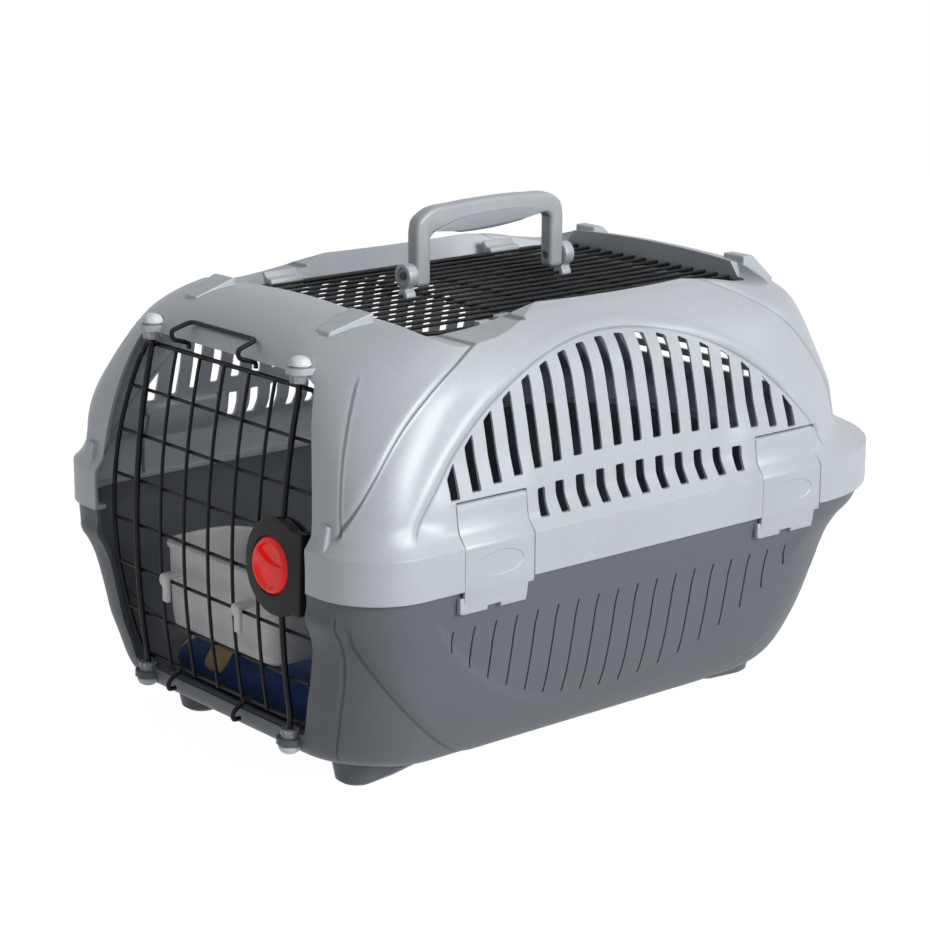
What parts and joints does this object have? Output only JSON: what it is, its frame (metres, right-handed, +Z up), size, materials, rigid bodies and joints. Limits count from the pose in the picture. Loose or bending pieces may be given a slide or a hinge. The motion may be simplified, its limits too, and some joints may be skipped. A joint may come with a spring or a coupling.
{
  "type": "pet carrier",
  "caption": "Two-part plastic pet carrier with a curved wire door and rotary lock, a wire roof lid with a folding handle, side clips, a hanging bowl and a cushion.",
  "frame": {"origin": "centre of the bounding box, on the floor under the feet", "axes": "+X along the keeper from the front door to the rear, +Y across it to the lid's hinge side, +Z up"},
  "size_m": [0.554, 0.388, 0.3822],
  "materials": {
    "upper_plastic": "satin",
    "lower_plastic": "satin",
    "handle_plastic": "satin",
    "grip_plastic": "matte",
    "black_wire": "semi-gloss",
    "rod_wire": "semi-gloss",
    "lock_black": "matte",
    "knob_red": "gloss",
    "cam_plastic": "matte",
    "bush_plastic": "translucent",
    "cap_plastic": "gloss",
    "bowl_plastic": "satin",
    "cushion_fabric": "woven print",
    "pin_plastic": "satin"
  },
  "bodies": {
    "shells": {"lower_shell": "lower_plastic", "upper_shell": "upper_plastic", "hinge_bush_top": "bush_plastic", "hinge_bush_bottom": "bush_plastic", "lock_bush_top": "bush_plastic", "lock_bush_bottom": "bush_plastic", "bush_caps": "cap_plastic", "lid_hinge_clips": "upper_plastic", "cushion": "cushion_fabric"},
    "front_door": {"door_frame_wire": "black_wire", "door_vertical_wires": "black_wire", "door_cross_wires": "black_wire", "door_pull_loop": "black_wire", "door_sill_hooks": "black_wire", "door_hinge_rod": "rod_wire", "lock_plate": "lock_black", "lock_back_plate": "lock_black"},
    "knob": {"lock_knob": "knob_red", "lock_cam": "cam_plastic"},
    "upper_rod": {"lock_rod_upper": "rod_wire"},
    "lower_rod": {"lock_rod_lower": "rod_wire"},
    "bowl": {"food_bowl": "bowl_plastic"},
    "lid": {"lid_frame_wire": "black_wire", "lid_long_wires": "black_wire", "lid_cross_wires": "black_wire", "handle_bracket_front": "upper_plastic", "handle_bracket_rear": "upper_plastic", "handle_pins": "pin_plastic"},
    "latch": {"lid_latch": "upper_plastic"},
    "handle": {"carry_handle": "handle_plastic", "grip_insert": "grip_plastic"},
    "front_right_clip": {"side_clip_front_right": "upper_plastic"},
    "rear_right_clip": {"side_clip_rear_right": "upper_plastic"},
    "front_left_clip": {"side_clip_front_left": "upper_plastic"},
    "rear_left_clip": {"side_clip_rear_left": "upper_plastic"}
  },
  "joints": [
    {"name": "door_hinge", "type": "hinge", "parent": "shells", "child": "front_door", "pos_m": [-0.25495, 0.0895, 0.17018], "axis": [-0.0454, 0, -0.999], "range_deg": [0, 110]},
    {"name": "knob_turn", "type": "hinge", "parent": "front_door", "child": "knob", "pos_m": [-0.26687, -0.0845, 0.16672], "axis": [-0.999, 0, 0.0454], "range_deg": [0, 90]},
    {"name": "upper_rod_slide", "type": "slide", "parent": "front_door", "child": "upper_rod", "axis": [0.0454, 0, 0.999], "range_m": [0, 0.009]},
    {"name": "lower_rod_slide", "type": "slide", "parent": "front_door", "child": "lower_rod", "axis": [-0.0454, 0, -0.999], "range_m": [0, 0.009]},
    {"name": "bowl_lift", "type": "slide", "parent": "front_door", "child": "bowl", "axis": [0, 0, 1], "range_m": [0, 0.02]},
    {"name": "lid_hinge", "type": "hinge", "parent": "shells", "child": "lid", "pos_m": [0, 0.105, 0.3132], "axis": [-1, 0, 0], "range_deg": [0, 110]},
    {"name": "latch_slide", "type": "slide", "parent": "lid", "child": "latch", "axis": [-1, 0, 0], "range_m": [0, 0.009]},
    {"name": "handle_fold", "type": "hinge", "parent": "lid", "child": "handle", "pos_m": [-0.0105, 0, 0.3312], "axis": [1, 0, 0], "range_deg": [-85, 85]},
    {"name": "front_right_clip_hinge", "type": "hinge", "parent": "shells", "child": "front_right_clip", "pos_m": [-0.162, -0.182, 0.214], "axis": [-1, 0, 0], "range_deg": [0, 100]},
    {"name": "rear_right_clip_hinge", "type": "hinge", "parent": "shells", "child": "rear_right_clip", "pos_m": [0.122, -0.182, 0.214], "axis": [-1, 0, 0], "range_deg": [0, 100]},
    {"name": "front_left_clip_hinge", "type": "hinge", "parent": "shells", "child": "front_left_clip", "pos_m": [-0.162, 0.182, 0.214], "axis": [1, 0, 0], "range_deg": [0, 100]},
    {"name": "rear_left_clip_hinge", "type": "hinge", "parent": "shells", "child": "rear_left_clip", "pos_m": [0.122, 0.182, 0.214], "axis": [1, 0, 0], "range_deg": [0, 100]}
  ],
  "couplings": [
    {"joint": "upper_rod_slide", "follows": "knob_turn", "m_per_rad": 0.005729},
    {"joint": "lower_rod_slide", "follows": "knob_turn", "m_per_rad": 0.005729}
  ]
}
